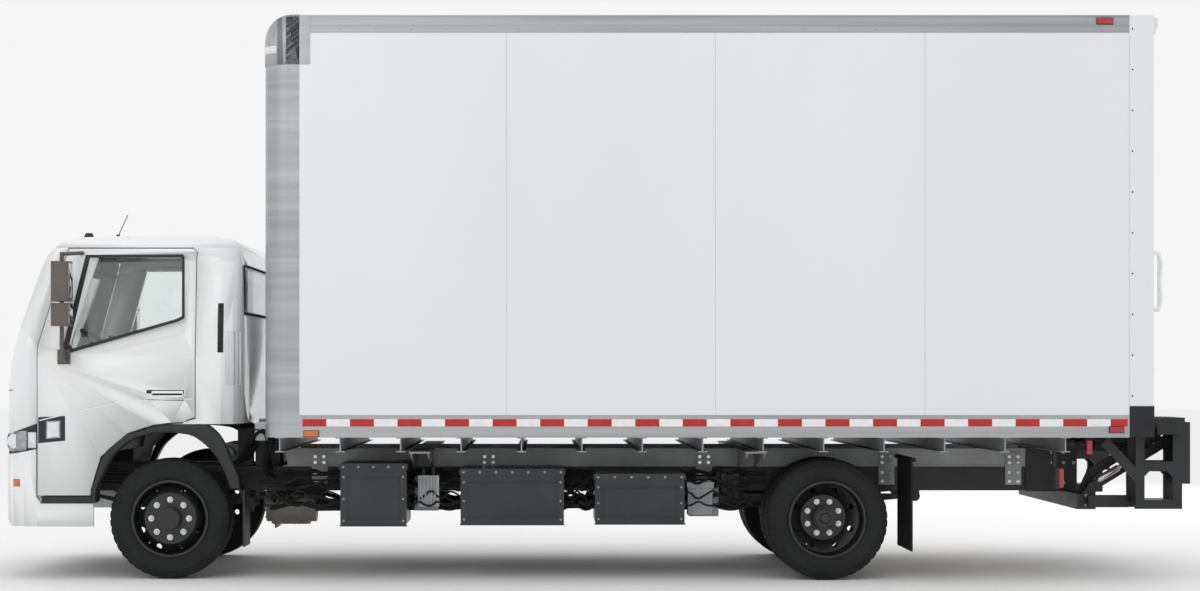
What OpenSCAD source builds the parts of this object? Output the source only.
// Medium box truck with a forward cab, battery drive, a dry freight body and
// a fold-away tail lift.  Millimetres, +X forward, +Y left, +Z up.
// Every piece is drawn from the middle of the front axle, on the ground of the
// standard tyre, and placed() then moves it to the middle of the whole truck.

/* [Overall] */
// Distance between the front and rear axles
wheelbase = 4394; // [3900:1:5300]
// Nose of the bumper ahead of the front axle
front_overhang = 1130; // [1100:1:1250]
// Length of the load body
body_l = 5856; // [4880:1:7028]
// Width of the load body
body_w = 2438; // [2350:1:2926]
// Height of the load body, from its bottom rail to its roof
body_h = 2777; // [2200:1:3332]

/* [Cab] */
// Width of the cab over its doors
cab_w = 2000; // [1960:1:2400]
// Height of the cab roof above the ground
cab_top = 2310; // [2250:1:2772]
// Rear wall of the cab behind the front axle
cab_back = 484; // [460:1:520]
// Thickness of the doors and side panels
door_t = 60; // [50:1:72]
// Thickness of the roof, front and rear panels
panel_t = 40; // [34:1:48]
// Thickness of the window glass
glass_t = 6; // [5:0.5:8]
// Shut gap round the doors
door_gap = 8; // [7:1:12]
// Fore and aft place of the cab tilt pivot ahead of the front axle
tilt_x = 1040; // [1030:1:1050]
// Height of the cab tilt pivot
tilt_z = 600; // [590:1:610]

/* [Wheels] */
// Outer diameter of every tyre
tyre_d = 811; // [676:1:860]
// Width of every tyre
tyre_w = 226; // [188:1:240]
// Diameter of the wheel rims at the tyre's bead
rim_d = 495; // [480:1:520]
// Distance between the middles of the front tyres
front_track = 1700; // [1680:1:1740]
// Distance between the middles of the two rear pairs
rear_track = 1610; // [1590:1:1640]
// Distance between the two tyres of a rear pair
twin_pitch = 264; // [256:1:300]

/* [Chassis] */
// Width over the two chassis rails
rails_w = 864; // [850:1:900]
// Depth of a chassis rail
rail_h = 166; // [150:1:190]
// Width of a chassis rail's flange
rail_flange = 70; // [60:1:80]
// Thickness of the rail's plate
rail_t = 8; // [6:1:10]
// Height of the chassis rails' lower face
rail_z = 565; // [560:1:575]
// Height of the body's long sills on the rails
sill_h = 128; // [107:1:154]
// Height of the body's crossmembers on the sills
bearer_h = 98; // [82:1:118]

/* [Load body] */
// Gap from the front axle back to the body's front wall
body_start = 658; // [650:1:760]
// Thickness of the side walls
wall_t = 30; // [25:1:36]
// Thickness of the floor boards
floor_t = 35; // [30:1:42]
// Thickness of the roof
roof_t = 30; // [25:1:36]
// Height of the aluminium bottom rail
bottom_rail_h = 148; // [124:1:178]
// Height of the aluminium top rail
top_rail_h = 116; // [97:1:139]
// Width of the front corner posts seen from the side
corner_w = 241; // [201:1:289]
// Radius of the body's front corners
corner_r = 150; // [125:1:180]
// Depth of the rear door frame seen from the side
rear_frame_d = 160; // [134:1:192]
// Width of a rear door frame post seen from behind
rear_post_w = 110; // [92:1:132]

/* [Tail lift] */
// Depth of the folded platform from its hinge to its front edge
platform_d = 480; // [420:1:495]
// Width of the platform
platform_w = 1400; // [1240:1:1410]
// Thickness of each half of the platform
platform_t = 50; // [42:1:50]
// Distance of the platform hinge behind the load body
lift_reach = 208; // [205:1:210]
// Height of the platform hinge when stowed
lift_z = 900; // [895:1:902]
// Height of the lift arm's pivot
lift_pivot_z = 609; // [600:1:620]

/* [Battery boxes] */
// Distance of the battery boxes' outer faces from the middle
pack_y = 1000; // [960:1:1040]
// Depth of a battery box from its outer face inwards
pack_d = 480; // [400:1:500]

/* [Hidden] */
$fn = 48;

// Heights below are those of the standard tyre, so a bigger tyre lifts the truck
axle_z = 405.5;
step_d = 276;
total_l = front_overhang + body_start + body_l + step_d;
axle_x = total_l / 2 - front_overhang;
rail_top = rail_z + rail_h;
body_z = rail_top + sill_h + bearer_h;
floor_z = body_z + floor_t;
body_x0 = -body_start;
body_x1 = -body_start - body_l;
body_top = body_z + body_h;
rails_y = rails_w / 2;
half_body = body_w / 2;
half_cab = cab_w / 2;
rear_x = -wheelbase;

paint = [0.93, 0.94, 0.94];
frame_black = [0.13, 0.13, 0.14];
sill_grey = [0.45, 0.46, 0.46];
alloy = [0.78, 0.79, 0.8];
tyre_black = [0.07, 0.07, 0.08];
wheel_black = [0.1, 0.1, 0.1];
trim_black = [0.16, 0.16, 0.16];
pack_grey = [0.2, 0.21, 0.22];
casing_beige = [0.66, 0.65, 0.6];
lamp_red = [0.7, 0.06, 0.06];
glass_tint = [0.5, 0.56, 0.56, 0.5];
cloth_grey = [0.35, 0.37, 0.36];
mirror_brown = [0.36, 0.33, 0.31];

// Moves a piece from the front axle's own place to its place on the whole truck
module placed() {
    translate([axle_x, 0, tyre_d / 2 - axle_z]) children();
}

// A block between two corners
module block(x0, x1, y0, y1, z0, z1) {
    translate([min(x0, x1), min(y0, y1), min(z0, z1)])
        cube([abs(x1 - x0), abs(y1 - y0), abs(z1 - z0)]);
}

// The same piece on the left and on the right
module both_sides() {
    children();
    mirror([0, 1, 0]) children();
}

// An outline in X and Z, made thick from y0 to y1
module side_plate(y0, y1) {
    translate([0, max(y0, y1), 0]) rotate([90, 0, 0])
        linear_extrude(height = abs(y1 - y0)) children();
}

// A round bar along Y
module cross_bar(x, z, r, y0, y1) {
    translate([x, max(y0, y1), z]) rotate([90, 0, 0]) cylinder(h = abs(y1 - y0), r = r);
}

// A round bar along X
module long_bar(y, z, r, x0, x1) {
    translate([min(x0, x1), y, z]) rotate([0, 90, 0]) cylinder(h = abs(x1 - x0), r = r);
}

// A rectangle with its corners rounded, between two corners of its outline
module rounded(x0, z0, x1, z1, r) {
    translate([x0 + r, z0]) square([x1 - x0 - 2 * r, z1 - z0]);
    translate([x0, z0 + r]) square([x1 - x0, z1 - z0 - 2 * r]);
    for (x = [x0 + r, x1 - r], z = [z0 + r, z1 - r]) translate([x, z]) circle(r = r);
}

// A straight strip of a given width between two points
module strip(p, q, w) {
    run = q - p;
    translate(p) rotate(atan2(run[1], run[0])) translate([0, -w / 2]) square([norm(run), w]);
}

// ---------------------------------------------------------------- chassis ----
rail_x0 = tilt_x - 40;
rail_x1 = body_x1 + 512;
cross_x = [880, -760, -1760, -2700, -3720, -5020, -5930];
// Eye under the front crossmember, and a pattern of four holes in each rail's web
tow_eye = [960, 560];
rail_bolts_x = -4150;

// One chassis rail, an open channel with its web outside
module rail() {
    difference() {
        block(rail_x0, rail_x1, rails_y - rail_flange, rails_y, rail_z, rail_top);
        block(rail_x0 + 1, rail_x1 - 1, rails_y - rail_flange - 1, rails_y - rail_t,
            rail_z + rail_t, rail_top - rail_t);
    }
}

// Two channel rails with the cab's tilt brackets in front
module chassis_frame() {
    bracket_r = 45;
    color(frame_black) placed() {
        difference() {
            both_sides() {
                rail();
                side_plate(rails_y - 24, rails_y) {
                    translate([tilt_x, tilt_z]) circle(r = bracket_r);
                    translate([rail_x0 - 60, rail_z]) square([100, bracket_r + tilt_z - rail_z]);
                }
            }
            both_sides() cross_bar(tilt_x, tilt_z, 16, rails_y - 40, rails_y + 1);
            for (dx = [-50, 50], dz = [-40, 40])
                both_sides() cross_bar(rail_bolts_x + dx, rail_z + rail_h / 2 + dz, 7, rails_y - rail_t - 1, rails_y + 1);
        }
    }
}

// Channels between the rails, the first with a flat eye for a recovery pin under it
module cross_members() {
    inner = rails_y - rail_t;
    eye_r = 38;
    color(frame_black) placed() {
        for (x = cross_x) difference() {
            block(x - 45, x + 45, -inner, inner, rail_z + 14, rail_top - 14);
            block(x - 37, x + 37, -inner + rail_flange, inner - rail_flange,
                rail_z + 13, rail_top - 22);
        }
        block(cross_x[0] + 36, cross_x[0] + 45, -eye_r, eye_r, tow_eye[1], rail_z + 40);
        difference() {
            translate([0, 0, tow_eye[1] - 12]) linear_extrude(height = 24) {
                translate([tow_eye[0], 0]) circle(r = eye_r);
                translate([cross_x[0] + 36, -eye_r]) square([tow_eye[0] - cross_x[0] - 36, 2 * eye_r]);
            }
            translate([tow_eye[0], 0, tow_eye[1] - 13]) cylinder(h = 26, r = 20);
        }
    }
}

spring_y = rails_y - rail_flange / 2;
spring_w = 66;
king_y = front_track / 2 - 130;

// A bent stack of leaves with an eye and a hanger at each end
module leaf_spring(x, half, z_mid, z_end, t) {
    steps = 10;
    top = [for (i = [-steps:steps]) [half * i / steps, z_mid + t + (z_end - z_mid) * pow(i / steps, 2)]];
    low = [for (i = [steps:-1:-steps]) [half * i / steps,
        z_mid + (z_end - z_mid + t * 0.7) * pow(i / steps, 2)]];
    translate([x, 0, 0]) side_plate(spring_y - spring_w / 2, spring_y + spring_w / 2) {
        polygon(concat(top, low));
        for (s = [-1, 1]) {
            translate([s * half, z_end + t * 0.8]) circle(r = t * 0.55);
            translate([s * half - 32, z_end + t * 0.8]) square([64, rail_z - z_end - t * 0.8]);
        }
    }
}

module leaf_springs() {
    color(frame_black) placed() both_sides() {
        leaf_spring(0, 620, axle_z + 25, axle_z + 90, 46);
        leaf_spring(rear_x, 690, axle_z + 72, axle_z + 68, 66);
    }
}

// Dropped beam between the king pins, with pads under the springs
module front_axle() {
    eye_r = 44;
    color(frame_black) placed() {
        translate([34, 0, 0]) rotate([90, 0, -90]) linear_extrude(height = 68) both_flat()
            polygon([[0, axle_z - 95], [king_y - 170, axle_z - 95], [king_y - 60, axle_z - 38],
                [king_y, axle_z - 38],
                [king_y, axle_z + 38], [king_y - 150, axle_z - 20], [0, axle_z - 20]]);
        both_sides() {
            translate([0, king_y, axle_z - 38]) cylinder(h = 76, r = eye_r);
            translate([0, king_y, axle_z - 108]) cylinder(h = 216, r = 18);
            block(-70, 70, spring_y - 45, spring_y + 45, axle_z - 60, axle_z + 25);
        }
    }
}

// The same outline on both sides of the middle, in a front view
module both_flat() {
    children();
    mirror([1, 0]) children();
}

spindle_r = 30;
arm_x = 180;
arm_in = 0;

// Fork round the beam's eye, wheel spindle and steering arm
module knuckle() {
    fork_gap = 38.6;
    difference() {
        union() {
            for (z = [axle_z - 100, axle_z + fork_gap]) translate([0, king_y, z])
                cylinder(h = 100 - fork_gap, r = 42);
            block(-40, 40, king_y + 48, king_y + 78, axle_z - 100, axle_z + 100);
            block(-40, 40, king_y, king_y + 50, axle_z - 100, axle_z - fork_gap);
            block(-40, 40, king_y, king_y + 50, axle_z + fork_gap, axle_z + 100);
            cross_bar(0, axle_z, spindle_r, king_y + 60, king_y + 195);
            translate([0, 0, axle_z - 100]) linear_extrude(height = 25) {
                strip([0, king_y], [-arm_x, king_y - arm_in], 50);
                translate([-arm_x, king_y - arm_in]) circle(r = 25);
            }
        }
        translate([0, king_y, axle_z - 120]) cylinder(h = 240, r = 18.3);
        translate([-arm_x, king_y - arm_in, axle_z - 101]) cylinder(h = 30, r = 10.3);
    }
}

module left_knuckle() {
    color(frame_black) placed() knuckle();
}

module right_knuckle() {
    color(frame_black) placed() mirror([0, 1, 0]) knuckle();
}

// Rod that keeps the two front wheels parallel
module tie_rod() {
    rod_z = axle_z - 122;
    color(frame_black) placed() {
        cross_bar(-arm_x, rod_z, 14, -(king_y - arm_in), king_y - arm_in);
        both_sides() {
            translate([-arm_x, king_y - arm_in, rod_z - 20]) cylinder(h = 40, r = 24);
            translate([-arm_x, king_y - arm_in, rod_z]) cylinder(h = 50, r = 10);
        }
    }
}

// ----------------------------------------------------------------- wheels ----
rim_r = rim_d / 2;
bead_half = tyre_w / 2 - 20;

// Turns an outline of radius and distance along the axle into a ring on the axle
module wheel_ring() {
    rotate([-90, 0, 0]) rotate_extrude($fn = 96) children();
}

module tyre() {
    r = tyre_d / 2;
    half = tyre_w / 2;
    side = [[rim_r + 0.3, bead_half], [rim_r + 15, bead_half + 1], [rim_r + 20, bead_half + 11],
        [rim_r + (r - rim_r) * 0.5, half], [r - 26, half - 8], [r - 8, half - 20],
        [r, half - 38]];
    wheel_ring() polygon(concat(side, [for (i = [len(side) - 1:-1:0]) [side[i][0], -side[i][1]]]));
}

// Barrel of a rim with its two flanges
module rim_barrel() {
    wheel_ring() polygon([[rim_r, bead_half + 1], [rim_r + 10, bead_half + 2],
        [rim_r + 10, bead_half + 10], [rim_r - 5, bead_half + 10], [rim_r - 11, bead_half],
        [rim_r - 16, 30], [rim_r - 16, -30], [rim_r - 11, -bead_half],
        [rim_r - 5, -bead_half - 10], [rim_r + 10, -bead_half - 10],
        [rim_r + 10, -bead_half - 2], [rim_r, -bead_half - 1]]);
}

// Dished disc: a flat face of face_r at face_y, and a cone out to the barrel at seat_y
module rim_disc(face_r, face_y, seat_y, t) {
    reach = rim_r - 14;
    difference() {
        wheel_ring() polygon([[50, face_y], [face_r, face_y], [reach, seat_y],
            [reach, seat_y - t], [face_r - 4, face_y - t], [50, face_y - t]]);
        for (i = [0:7]) rotate([0, i * 45 + 22.5, 0])
            translate([(face_r + reach) / 2 + 2, face_y - 90, 0]) rotate([-90, 0, 0])
                cylinder(h = 180, r = 19);
    }
}

module front_rim() {
    rim_barrel();
    rim_disc(171, 86, 30, 12);
    difference() {
        union() {
            rotate([-90, 0, 0]) translate([0, 0, -50]) cylinder(h = 136, r = 84);
            rotate([-90, 0, 0]) cylinder(h = 150, r = 72);
        }
        rotate([-90, 0, 0]) translate([0, 0, -51]) cylinder(h = 117, r = spindle_r + 0.3);
    }
}

module rear_rims() {
    translate([0, twin_pitch / 2, 0]) rim_barrel();
    translate([0, -twin_pitch / 2, 0]) rim_barrel();
    rim_disc(152, 12, twin_pitch / 2 - 62, 12);
    mirror([0, 1, 0]) rim_disc(152, 12, twin_pitch / 2 - 62, 12);
    difference() {
        rotate([-90, 0, 0]) translate([0, 0, -90]) cylinder(h = 205, r = 76);
        rotate([-90, 0, 0]) translate([0, 0, -91]) cylinder(h = 171, r = 40.3);
    }
}

module rear_tyres() {
    for (s = [-1, 1]) translate([0, s * twin_pitch / 2, 0]) tyre();
}

// Puts a left wheel on its axle
module at_front() {
    placed() translate([0, front_track / 2, axle_z]) children();
}

module at_rear() {
    placed() translate([rear_x, rear_track / 2, axle_z]) children();
}

module front_left_rim() {
    color(wheel_black) at_front() front_rim();
}

module front_left_tyre() {
    color(tyre_black) at_front() tyre();
}

module front_right_rim() {
    color(wheel_black) mirror([0, 1, 0]) at_front() front_rim();
}

module front_right_tyre() {
    color(tyre_black) mirror([0, 1, 0]) at_front() tyre();
}

module rear_left_rims() {
    color(wheel_black) at_rear() rear_rims();
}

module rear_left_tyres() {
    color(tyre_black) at_rear() rear_tyres();
}

module rear_right_rims() {
    color(wheel_black) mirror([0, 1, 0]) at_rear() rear_rims();
}

module rear_right_tyres() {
    color(tyre_black) mirror([0, 1, 0]) at_rear() rear_tyres();
}

// Tube with the final drive in its middle and a spindle at each end
module rear_axle() {
    hub_in = rear_track / 2 - 95;
    color(frame_black) placed() translate([rear_x, 0, 0]) {
        cross_bar(0, axle_z, 66, -hub_in, hub_in);
        cross_bar(0, axle_z, 40, -hub_in - 150, hub_in + 150);
        translate([0, 0, axle_z]) sphere(r = 165);
        long_bar(0, axle_z, 80, 100, 290);
        both_sides() block(-75, 75, spring_y - 48, spring_y + 48, axle_z, axle_z + 72);
    }
}

motor_z = 438;

// Electric motor with its reduction gear, slung between the rails
module drive_motor() {
    color(casing_beige) placed() {
        long_bar(0, motor_z, 136, -570, -840);
        long_bar(0, motor_z, 118, -535, -885);
        block(-700, -600, -rails_y + rail_t, rails_y - rail_t, 590, 640);
        block(-700, -600, -90, 90, 540, 591);
    }
}

module propeller_shaft() {
    run = [rear_x + 290 + 885, axle_z - motor_z];
    color(frame_black) placed() translate([-885, 0, motor_z]) rotate([0, -90 - atan2(run[1], -run[0]), 0])
        translate([0, 0, 0.6]) cylinder(h = norm(run) - 1.2, r = 45);
}

// ---------------------------------------------------- battery and chassis fittings ----
// Front end, length, bottom and top of each battery box, from the front backwards
packs = [[-1147, 442, 364, 777], [-1950, 690, 372, 742], [-2848, 598, 376, 709]];

// Sealed steel boxes with a lid, three in a row
module battery_row() {
    lid_h = 46;
    for (p = packs) {
        side_plate(pack_y - pack_d, pack_y)
            rounded(p[0] - p[1], p[2], p[0], p[3] - lid_h + 1, 14);
        side_plate(pack_y - pack_d + 4, pack_y + 8)
            rounded(p[0] - p[1] - 8, p[3] - lid_h, p[0] + 8, p[3], 14);
    }
}

module battery_boxes() {
    color(pack_grey) placed() both_sides() battery_row();
}

// Brackets that carry the boxes on the rails' webs
module battery_hangers() {
    color(frame_black) placed() both_sides() for (p = packs, s = [0.4, 0.9]) translate([p[0] - p[1] * s, 0, 0]) {
        block(-25, 25, rails_y, rails_y + 12, 590, 715);
        block(-25, 25, rails_y + 11, pack_y - pack_d, 590, 640);
    }
}

// Finned power electronics bolted to the left rail
module control_units() {
    color(sill_grey) placed() {
        block(-1626, -1786, rails_y, 700, 443, 671);
        block(-3502, -3703, rails_y + 10, 640, 400, 616);
    }
}

// Guard behind each front wheel with its rubber flap
module front_mudguards() {
    r = tyre_d / 2 + 90;
    inner = half_cab - 280;
    color(trim_black) placed() both_sides() {
        side_plate(inner, half_cab - 100) intersection() {
            difference() {
                translate([0, axle_z]) circle(r = r + 12);
                translate([0, axle_z]) circle(r = r);
            }
            translate([-r - 20, axle_z]) square([r, 250]);
        }
        block(-r - 12, -r, inner, half_cab - 2, 219, 600);
        block(-r - 11, -r - 41, rails_y, inner + 1, 470, 500);
        block(-r - 41, -r - 11, rails_y, rails_y + 12, 470, 640);
        block(-r - 41, -r - 11, inner, inner + 40, 440, 530);
    }
}

module rear_mudflaps() {
    x = rear_x - 551;
    color(trim_black) placed() both_sides() {
        block(x, x - 10, 531, 1080, 196, 795);
        block(x, x - 30, rails_y, 1080, 790, 816);
    }
}

// ------------------------------------------------------------------ load body ----
sill_x0 = body_x0 - 67;
sill_x1 = body_x1 + 532;
bearers = 14;

// A bearer's section, two flanges joined by a web
module bearer_section() {
    translate([-30, 0]) square([60, 7]);
    translate([-30, bearer_h - 7]) square([60, 7]);
    translate([-4, 0]) square([8, bearer_h]);
}

// Long sills on the rails, with the plates that tie them down and arms under the floor's edge
module body_subframe() {
    plates = [-897, -2071, -3564, -4830, -5711];
    arms = [-1682, -3914];
    color(sill_grey) placed() {
        both_sides() {
            block(sill_x0, sill_x1, rails_y - 60, rails_y, rail_top, rail_top + sill_h);
            for (x = plates) block(x, x - 110, rails_y, rails_y + 10, rail_z + 40, rail_top + sill_h - 30);
            for (x = arms) {
                block(x - 70, x + 70, rails_y, half_body - 120, rail_top + sill_h - 12, rail_top + sill_h);
                for (s = [-62, 52]) translate([x + s, 0, 0]) rotate([90, 0, 90]) linear_extrude(height = 10)
                    polygon([[rails_y, rail_top], [half_body - 160, rail_top + sill_h - 40],
                        [half_body - 120, rail_top + sill_h - 11], [rails_y, rail_top + sill_h - 11]]);
            }
        }
    }
}

// Beams across the sills that carry the floor
module cross_bearers() {
    pitch = (sill_x0 - sill_x1 - 80) / (bearers - 1);
    color(sill_grey) placed() for (i = [0:bearers - 1])
        translate([sill_x0 - 40 - i * pitch, 0, rail_top + sill_h])
            side_plate(-half_body + wall_t, half_body - wall_t) bearer_section();
}

frame_x = body_x1 + rear_frame_d;
post_x = body_x0 - corner_w;
rail_top_z = body_top - top_rail_h;
brow_r = 197;

module cargo_floor() {
    color([0.55, 0.42, 0.28]) placed()
        block(body_x0 - wall_t - corner_r, frame_x, -half_body + wall_t, half_body - wall_t, body_z, floor_z);
}

module side_walls() {
    color(paint) placed() both_sides()
        block(post_x, frame_x, half_body - wall_t, half_body, body_z + bottom_rail_h, rail_top_z);
}

// The whole body's front end, rounded at its upright corners and along its brow
module front_block(inset) {
    x0 = body_x0 - inset;
    y = half_body - inset;
    r = corner_r - inset;
    b = brow_r - inset;
    top = body_top - inset;
    intersection() {
        translate([0, 0, body_z]) linear_extrude(height = top - body_z) {
            translate([post_x - 1, -y]) square([x0 - r - post_x + 1, 2 * y]);
            translate([post_x - 1, -y + r]) square([x0 - post_x + 1, 2 * y - 2 * r]);
            for (s = [-1, 1]) translate([x0 - r, s * (y - r)]) circle(r = r);
        }
        side_plate(-y, y) {
            translate([post_x - 1, body_z]) square([x0 - b - post_x + 1, top - body_z]);
            translate([post_x - 1, body_z]) square([x0 - post_x + 1, top - b - body_z]);
            translate([x0 - b, top - b]) circle(r = b);
        }
    }
}

module front_wall() {
    color(paint) placed()
        block(body_x0, body_x0 - wall_t, -half_body + corner_r, half_body - corner_r, body_z, body_top - brow_r);
}

// Rounded aluminium posts and brow that frame the front wall
module front_corner_posts() {
    color(alloy) placed() difference() {
        front_block(0);
        front_block(wall_t);
        block(body_x0 + 1, body_x0 - wall_t, -half_body + corner_r, half_body - corner_r,
            body_z - 1, body_top - brow_r);
        block(post_x, post_x - 2 * brow_r, -half_body - 1, half_body + 1, body_z - 1, body_top + 1);
        block(body_x0 - wall_t - corner_r, post_x - 1, -half_body + wall_t, half_body - wall_t,
            body_z - 1, floor_z);
    }
}

module cargo_roof() {
    color(paint) placed()
        block(post_x, frame_x, -half_body + wall_t, half_body - wall_t, body_top - roof_t, body_top);
}

// Aluminium rails along the foot and the top of each side wall
module body_rails() {
    color(alloy) placed() both_sides() {
        block(post_x, frame_x, half_body - wall_t, half_body, body_z, body_z + bottom_rail_h);
        block(post_x, frame_x, half_body - wall_t, half_body, rail_top_z, body_top);
    }
}

header_h = 300;

// Portal round the rear doorway, with a sloped brow over it
module rear_door_frame() {
    color(paint) placed() {
        both_sides() block(frame_x, body_x1, half_body - rear_post_w, half_body, body_z + 23, body_top);
        block(frame_x, body_x1, -half_body, half_body, body_top - header_h, body_top);
        block(frame_x, body_x1, -half_body + rear_post_w - 1, half_body - rear_post_w + 1, body_z, floor_z);
        side_plate(-half_body + 60, half_body - 60) polygon([[body_x1 + 1, body_top],
            [body_x1 - 46, body_top - 12], [body_x1 - 46, body_top - 60], [body_x1 + 1, body_top - 180]]);
        both_sides() {
            for (z = [1797, 2174]) long_bar(half_body - 60, z, 11, body_x1 - 52, body_x1 + 5);
            translate([body_x1 - 52, half_body - 60, 1797]) cylinder(h = 377, r = 11);
        }
    }
}

// Closed roller curtain, flush between the posts
module roll_up_door() {
    color([0.86, 0.87, 0.87]) placed() block(body_x1 + 30, body_x1 + 55, -half_body + rear_post_w,
        half_body - rear_post_w, floor_z, body_top - header_h);
}

// ------------------------------------------------------------------ tail lift ----
step_x0 = body_x1 + 86;
step_x1 = body_x1 - 223;
step_in = 870;
step_out = 1100;
pivot = [body_x1 + 310, lift_pivot_z];
hinge = [body_x1 - lift_reach, lift_z + 25];
// The second bar of the parallelogram lies above the first, square to its middle position
link = [-31.6, 105.4];

// Two-step frames beside the lift, corner steps, buffers and the fixed bridge plate
module rear_steps() {
    post = 60;
    low = 480;
    color(frame_black) placed() {
        both_sides() {
            for (y = [step_in, step_out - 30]) side_plate(y, y + 30) {
                translate([step_x0 - post, low]) square([post, body_z - low]);
                translate([step_x1, low]) square([post, body_z + 23 - low]);
                translate([step_x1, low]) square([step_x0 - step_x1, post]);
                translate([step_x1, 729]) square([step_x0 - step_x1, 66]);
                for (s = [0, 1]) translate([s == 0 ? step_x1 + post - 1 : step_x0 - post + 1, 730])
                    polygon([[0, 0], [s == 0 ? 34 : -34, 0], [0, -34]]);
            }
            for (z = [low, 729]) block(step_x0, step_x1, step_in, step_out, z + 40, z + 60);
            side_plate(step_out - 30, step_out)
                strip([step_x0 - 20, 690], [body_x1 + 290, body_z - 26], 62);
            block(body_x1 + 300, body_x1 + 264, step_out - 31, step_out + 60, body_z - 12, body_z);
            block(body_x1 - 43, step_x1, step_in, step_out + 60, body_z + 18, body_z + 130);
            block(body_x1, body_x1 - 44, step_in, step_out, body_z + 18, body_z + 60);
            block(step_x1 + 1, step_x1 - 53, step_in, step_out, 647, body_z + 99);
        }
        block(body_x1, body_x1 - 200, -700, 700, body_z + 2, floor_z);
    }
}

// Side plates on the rails' ends, the cross tube and its pivot lugs
module lift_mount() {
    tube_x = pivot[0] + 63;
    color(frame_black) placed() {
        difference() {
            block(tube_x + 41, tube_x - 37, -866, 866, 463, 566);
            block(tube_x + 33, tube_x - 29, -840, 840, 471, 558);
        }
        both_sides() {
            block(rail_x1 + 150, pivot[0] - 1, rails_y, rails_y + 18, 560, body_z - 98);
            side_plate(846, 863) lug(pivot, [tube_x - 5, 520]);
            block(tube_x, tube_x - 84, 846, 866, 463, 583);
            block(tube_x - 20, step_x0, 865, 930, 480, 560);
            side_plate(715, 745) lug(pivot + link, [tube_x - 5, 520]);
            cross_bar(pivot[0], pivot[1], 20, 808, 860);
            cross_bar(pivot[0] + link[0], pivot[1] + link[1], 20, 730, 782);
        }
    }
}

// A flat lug from a pin's place down to what carries it
module lug(p, root) {
    translate(p) circle(r = 35);
    strip(p, root, 62);
}

// A flat lift bar with an eye at each end
module lift_bar(p, q, y0, y1) {
    difference() {
        side_plate(y0, y1) {
            strip(p, q, 60);
            translate(p) circle(r = 34);
            translate(q) circle(r = 34);
        }
        for (e = [p, q]) cross_bar(e[0], e[1], 20.3, y0 - 1, y1 + 1);
    }
}

// Outer bars of the parallelogram, tied by a tube near their pivots
module lift_arms() {
    color(frame_black) placed() both_sides() lift_bar(pivot, hinge, 810, 840);
}

module parallel_arms() {
    color(trim_black) placed() both_sides() lift_bar(pivot + link, hinge + link, 750, 780);
}

// End plates that the two pairs of bars keep upright, with the platform's hinge pins
module lift_shackles() {
    color(frame_black) placed() both_sides() {
        side_plate(785, 805) lug(hinge + link, hinge);
        side_plate(785, 805) translate(hinge) circle(r = 35);
        cross_bar(hinge[0], hinge[1], 20, 804, 842);
        cross_bar(hinge[0] + link[0], hinge[1] + link[1], 20, 748, 786);
        cross_bar(hinge[0], hinge[1], 15, 660, 786);
    }
}

fold_x = hinge[0] + platform_d;
fold_z = hinge[1] - platform_t / 2;
fold_gap = 2.5;
knuckle_r = 18;

// Inner half of the platform, stowed forward under the floor
module lift_platform() {
    half = platform_w / 2;
    color(pack_grey) placed() difference() {
        union() {
            block(hinge[0], fold_x - 26, -half, half, fold_z + fold_gap, hinge[1] + platform_t / 2);
            cross_bar(hinge[0], hinge[1], platform_t / 2 - fold_gap, -half, half);
            for (y = [-500, 0, 500]) {
                cross_bar(fold_x, fold_z, knuckle_r, y - 50, y + 50);
                block(fold_x - 27, fold_x, y - 50, y + 50, fold_z + fold_gap, fold_z + knuckle_r);
            }
            cross_bar(fold_x, fold_z, 8, -540, 540);
        }
        both_sides() cross_bar(hinge[0], hinge[1], 15.3, half - 45, half + 1);
    }
}

// Outer half of the platform, folded back under the inner half
module platform_flap() {
    half = platform_w / 2;
    color(pack_grey) placed() difference() {
        union() {
            block(hinge[0] + 30, fold_x - 26, -half, half, fold_z - platform_t, fold_z - fold_gap);
            for (y = [-250, 250]) {
                cross_bar(fold_x, fold_z, knuckle_r, y - 50, y + 50);
                block(fold_x - 27, fold_x, y - 50, y + 50, fold_z - knuckle_r, fold_z - fold_gap);
            }
        }
        for (y = [-250, 250]) cross_bar(fold_x, fold_z, 8.3, y - 51, y + 51);
    }
}

// ------------------------------------------------------------------------ cab ----
cab_nose = 1123;
nose_z = 560;
belt_z = 1480;

// Cab outline seen from the side, moved in by a given amount
module cab_side(d) {
    top = cab_top - d;
    back = -cab_back + d;
    f = cab_nose - d;
    polygon([[f, nose_z - 1], [f, 1060], [f - 12, 1250], [f - 48, 1440], [f - 237, 2008],
        [f - 296, cab_top - 142 - d * 0.3], [f - 376, cab_top - 50 - d * 0.7], [f - 500, top - 9],
        [380, top], [-250 + d, top], [back + 84, top - 25], [back + 24, top - 90], [back, top - 200],
        [back, nose_z - 1]]);
}

// Cab outline seen from above, with round front corners and a bulged rear wall
module cab_plan(d, s) {
    half = half_cab - s;
    f = cab_nose + 1 - d;
    back = -cab_back + d;
    quarter = [[f, 0], [f, half - 300], [f - 22, half - 150], [f - 80, half - 52],
        [f - 160, half - 12], [f - 249, half], [back + 140, half], [back + 60, half - 40],
        [back + 18, half - 150], [back, half - 400], [back, 0]];
    polygon(concat(quarter, [for (i = [len(quarter) - 1:-1:0]) [quarter[i][0], -quarter[i][1]]]));
}

// Cab outline seen from the front, leaning in above the belt line
module cab_front(d, s) {
    half = half_cab - s;
    top = cab_top + 1 - d;
    polygon([[half, nose_z - 1], [half, belt_z], [half - 66, 2130], [half - 90, 2200],
        [half - 150, top - 38], [half - 250, top], [-half + 250, top], [-half + 150, top - 38],
        [-half + 90, 2200], [-half + 66, 2130], [-half, belt_z], [-half, nose_z - 1]]);
}

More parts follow.
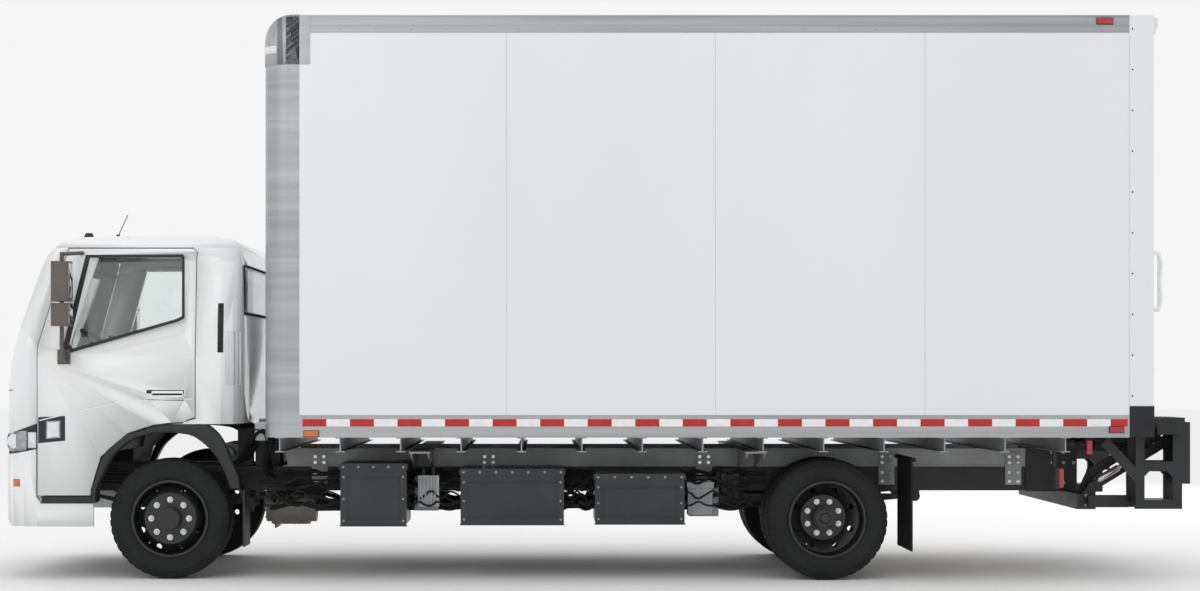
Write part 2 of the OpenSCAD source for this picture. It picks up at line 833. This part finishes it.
// The closed shape of the cab, d inside its front, roof and back and s inside its sides
module cab_block(d, s) {
    intersection() {
        side_plate(-half_cab, half_cab) cab_side(d);
        translate([0, 0, nose_z - 2]) linear_extrude(height = cab_top) cab_plan(d, s);
        translate([-cab_back - 1, 0, 0]) rotate([90, 0, 90]) linear_extrude(height = cab_nose + cab_back + 2)
            cab_front(d, s);
    }
}

// A skin of the cab between two depths
module cab_skin(d, s) {
    difference() {
        cab_block(0, 0);
        cab_block(d, s);
    }
}

// Wheel arch seen from the side for the standard tyre, its lip's outer and inner edges
arch_out = [[514, 515], [510, 600], [444, 813], [270, 967], [103, 1020], [-20, 1036], [-150, 1040],
    [-240, 1040], [-300, 1002], [-357, 934], [-457, 700], [-490, 515]];
arch_in = [[486, 500], [478, 620], [390, 800], [223, 947], [100, 975], [16, 981], [-100, 972],
    [-170, 954], [-250, 898], [-324, 814], [-417, 600], [-430, 500]];

// An arch edge for the chosen tyre, grown by g
module arch_shape(edge, g) {
    k = (tyre_d / 2 + 95 + g) / 500.5;
    polygon([for (p = edge) [p[0] * k, axle_z + (p[1] - axle_z) * k]]);
}

door_x0 = 874;
door_x1 = -173;
door_z0 = 564;
door_z1 = cab_top - 93;

// Outline of a door, grown by g on every side
module door_outline(g) {
    difference() {
        polygon([[door_x0 + g, door_z0 - g], [door_x0 + g, 1560], [door_x0 - 192 + g, door_z1 + g],
            [door_x1 + 25, door_z1 + g], [door_x1 - g, door_z1 - 25], [door_x1 - g, 1085 - g],
            [-100, 1060 - g], [-60, 900], [400, door_z0 - g]]);
        arch_shape(arch_out, door_gap + 4 - g);
    }
}

// Outline of the side window, which drops towards the front
module window_outline(g) {
    top = door_z1 - 62;
    polygon([[640 + g, 1531 - g], [664 + g, 1560], [664 - (top - 1560) * 0.292 + g, top + g],
        [-70, top + g], [-94 - g, top - 25], [-94 - g, 1765], [-50, 1735 - g]]);
}

// Outline of the windscreen seen from the front
module screen_outline() {
    w = half_cab - 110;
    top = cab_top - 165;
    polygon([[-w, 1500], [-w + 20, 1480], [w - 20, 1480], [w, 1500], [w - 60, top - 30],
        [w - 90, top], [-w + 90, top], [-w + 60, top - 30]]);
}

// Outline of the rear window seen from behind
module rear_window_outline() {
    translate([-740, 0]) rounded(0, 1795, 1480, cab_top - 213, 60);
}

module front_view(x0, x1) {
    translate([x0, 0, 0]) rotate([90, 0, 90]) linear_extrude(height = x1 - x0) children();
}

// Outline of the lamp band that wraps round each front corner
module lamp_outline(g) {
    rear = door_x0 + door_gap - g;
    polygon([[cab_nose + 30, 947 + g], [rear, 1041 + g], [rear, 881 - g], [cab_nose + 30, 824 - g]]);
}

roof_z = door_z1 + door_gap;
lamp_in = half_cab - 440;

module lamp_zone(g) {
    both_sides() side_plate(lamp_in - g, half_cab + 10) lamp_outline(g);
}

// What the cab's welded body leaves to the doors, glass, lamps, bumper, roof and wheel arches
module cab_openings() {
    both_sides() side_plate(half_cab - 160, half_cab + 5) door_outline(door_gap);
    front_view(700, 1300) screen_outline();
    front_view(-cab_back - 5, -cab_back + 60) rear_window_outline();
    lamp_zone(3);
    both_sides() side_plate(lamp_in - 3, half_cab + 10) polygon([[cab_nose + 30, 815],
        [cab_nose + 30, 830], [door_x0 - 5, 885], [door_x0 - 5, 815]]);
    block(door_x0 - 5, cab_nose + 5, -half_cab - 5, half_cab + 5, nose_z - 5, 820);
    block(-cab_back - 5, cab_nose + 5, -half_cab - 5, half_cab + 5, roof_z, cab_top + 5);
    block(-cab_back - 5, door_x0, -half_cab - 5, half_cab + 5, nose_z - 5, 1040);
    both_sides() side_plate(half_cab - 120, half_cab + 5) arch_shape(arch_out, 0);
}

module cab_shell() {
    color(paint) placed() difference() {
        cab_skin(panel_t, door_t);
        cab_openings();
    }
}

module cab_roof() {
    color(paint) placed() intersection() {
        cab_skin(panel_t, door_t);
        block(-cab_back - 5, cab_nose + 5, -half_cab, half_cab, roof_z, cab_top + 5);
    }
}

module windscreen() {
    color(glass_tint) placed() intersection() {
        difference() {
            cab_block(14, door_t / 2 - glass_t);
            cab_block(14 + glass_t, door_t / 2);
        }
        front_view(700, 1300) screen_outline();
    }
}

module rear_window() {
    color(glass_tint) placed() intersection() {
        difference() {
            cab_block(14, 20);
            cab_block(14 + glass_t, 20 + glass_t);
        }
        front_view(-cab_back - 5, -cab_back + 60) rear_window_outline();
    }
}

// One door's skin with its window cut out
module door() {
    difference() {
        intersection() {
            cab_skin(panel_t, door_t);
            side_plate(half_cab - 160, half_cab + 5) door_outline(0);
        }
        side_plate(half_cab - 170, half_cab + 6) window_outline(0);
    }
    side_plate(half_cab, half_cab + 22) rounded(-111, 1205, 153, 1245, 18);
}

module door_window() {
    mid = door_t / 2;
    intersection() {
        difference() {
            cab_block(panel_t / 2, mid - glass_t / 2);
            cab_block(panel_t / 2 + glass_t, mid + glass_t / 2);
        }
        side_plate(half_cab - 170, half_cab + 6) window_outline(0);
    }
}

module left_door() {
    color(paint) placed() door();
}

module right_door() {
    color(paint) placed() mirror([0, 1, 0]) door();
}

module left_door_window() {
    color(glass_tint) placed() door_window();
}

module right_door_window() {
    color(glass_tint) placed() mirror([0, 1, 0]) door_window();
}

module headlamps() {
    color(trim_black) placed() intersection() {
        cab_skin(panel_t, door_t);
        lamp_zone(0);
    }
}

// Bumper and lower corners under the lamps, with sides that run back under the doors
module front_bumper() {
    low = 356;
    t = panel_t;
    color(paint) placed() intersection() {
        translate([7, 0, low - 1]) linear_extrude(height = 600) difference() {
            cab_plan(0, 0);
            cab_plan(t, t);
        }
        union() {
            side_plate(-half_cab, half_cab) polygon([[504, low], [1060, low], [1105, low + 34],
                [cab_nose + 7, low + 110], [cab_nose + 7, 812], [door_x0 + 12, 812],
                [door_x0 + 12, 560], [door_x0 - 20, 509], [504, 509]]);
            both_sides() side_plate(lamp_in, half_cab) polygon([[cab_nose + 7, 811], [cab_nose + 7, 824],
                [door_x0 + 12, 872], [door_x0 + 12, 811]]);
        }
    }
}

// Floor over the wheels and footwells, with the tilt arms and pins under it
module cab_floor() {
    arm_y = rails_y + 8;
    color(trim_black) placed() {
        intersection() {
            cab_block(panel_t, door_t + 12);
            side_plate(-half_cab, half_cab) polygon([[cab_nose, 824], [cab_nose, 864], [560, 864],
                [520, 1102], [-cab_back, 1102], [-cab_back, 1062], [486, 1062], [530, 824]]);
        }
        both_sides() {
            side_plate(arm_y, arm_y + 30) {
                translate([tilt_x, tilt_z]) circle(r = 40);
                strip([tilt_x, tilt_z], [tilt_x - 90, 826], 76);
            }
            cross_bar(tilt_x, tilt_z, 15.7, rails_y - 30, arm_y + 30);
        }
    }
}

column_tilt = 40;
column_foot = [735, 480, 1290];
column_l = 330;

// Entry steps under the doors, hung from the floor
module cab_steps() {
    tread_top = door_z0 - 8;
    color(trim_black) placed() both_sides() {
        block(516, 850, 720, half_cab - 6, 509, tread_top);
        block(560, 850, 690, 721, 509, 824);
    }
}

// Dash panel across the cab, with the steering column's sleeve
module dashboard() {
    color(cloth_grey) placed() {
        intersection() {
            cab_block(panel_t + 1, door_t + 12);
            side_plate(-half_cab, half_cab) polygon([[cab_nose, 1240], [cab_nose, 1440], [1000, 1470],
                [800, 1455], [720, 1380], [740, 1240], [860, 1200]]);
        }
        translate(column_foot) rotate([0, -column_tilt, 0]) cylinder(h = column_l - 62, r = 32);
    }
}

module steering_wheel() {
    color(trim_black) placed() translate(column_foot) rotate([0, -column_tilt, 0])
        translate([0, 0, column_l]) {
            rotate_extrude($fn = 72) translate([208, 0]) circle(r = 15, $fn = 24);
            translate([0, 0, -61]) cylinder(h = 66, r = 30);
            for (a = [0, 120, 240]) rotate([0, 0, a + 180]) translate([0, -16, -14]) cube([205, 32, 14]);
        }
}

// Seat bases, cushions, backs and head rests for the driver and two passengers
module seats() {
    color(cloth_grey) placed() {
        for (s = [[480, 250], [-320, 440]]) {
            y0 = s[0] - s[1];
            y1 = s[0] + s[1];
            block(-220, 250, y0 + 20, y1 - 20, 1102, 1215);
            side_plate(y0, y1) rounded(-240, 1214, 300, 1340, 40);
            side_plate(y0, y1) polygon([[-150, 1330], [-230, 1330], [-380, 1880], [-300, 1905],
                [-240, 1850]]);
        }
        for (y = [480, -100, -540]) side_plate(y - 130, y + 130)
            polygon([[-300, 1890], [-385, 1875], [-410, 2040], [-335, 2060]]);
    }
}

// Mirror pair on a tube, held by the door above and below its window
module door_mirrors() {
    tube = [690, half_cab + 100];
    translate([tube[0], tube[1], 1462]) cylinder(h = 720, r = 14);
    hull() {
        translate([tube[0], tube[1], 2170]) sphere(r = 13, $fn = 24);
        translate([590, half_cab - 72, 2186]) sphere(r = 13, $fn = 24);
    }
    long_arm = [tube[0] - 14, tube[0] + 14];
    block(long_arm[0], long_arm[1], half_cab, tube[1], 1462, 1520);
    block(655, 740, half_cab, half_cab + 10, 1440, 1538);
    for (m = [[1853, 2116], [1690, 1843]]) translate([0, 0, m[0]])
        linear_extrude(height = m[1] - m[0]) rounded(610, tube[1] + 10, 735, half_cab + 250, 28);
}

module left_mirrors() {
    color(mirror_brown) placed() door_mirrors();
}

module right_mirrors() {
    color(mirror_brown) placed() mirror([0, 1, 0]) door_mirrors();
}

// Black lips round the front wheel arches
module wheel_arch_trims() {
    low = 612;
    color(trim_black) placed() both_sides() side_plate(half_cab - 90, half_cab + 3) difference() {
        arch_shape(arch_out, 0);
        arch_shape(arch_in, 0);
        translate([-700, 0]) square([700, low]);
        square([700, 515]);
    }
}

// Dome and rod aerials on the cab roof
module roof_aerials() {
    color(trim_black) placed() difference() {
        union() {
            translate([624, 560, cab_top - 9]) cylinder(h = 42, r1 = 40, r2 = 24);
            translate([423, 560, cab_top - 2]) cylinder(h = 26, r = 12);
            translate([423, 560, cab_top + 14]) rotate([0, -25, 0]) cylinder(h = 158, r = 3);
        }
        cab_block(0, 0);
    }
}

chassis_frame();
cross_members();
front_axle();
rear_axle();
leaf_springs();
left_knuckle();
right_knuckle();
tie_rod();
front_left_rim();
front_left_tyre();
front_right_rim();
front_right_tyre();
rear_left_rims();
rear_left_tyres();
rear_right_rims();
rear_right_tyres();
drive_motor();
propeller_shaft();
battery_boxes();
battery_hangers();
control_units();
front_mudguards();
rear_mudflaps();
body_subframe();
cross_bearers();
cargo_floor();
side_walls();
front_wall();
cargo_roof();
body_rails();
front_corner_posts();
rear_door_frame();
roll_up_door();
rear_steps();
lift_mount();
lift_arms();
parallel_arms();
lift_shackles();
lift_platform();
platform_flap();
cab_shell();
cab_roof();
cab_steps();
cab_floor();
front_bumper();
headlamps();
windscreen();
rear_window();
dashboard();
steering_wheel();
seats();
left_door();
right_door();
left_door_window();
right_door_window();
left_mirrors();
right_mirrors();
wheel_arch_trims();
roof_aerials();
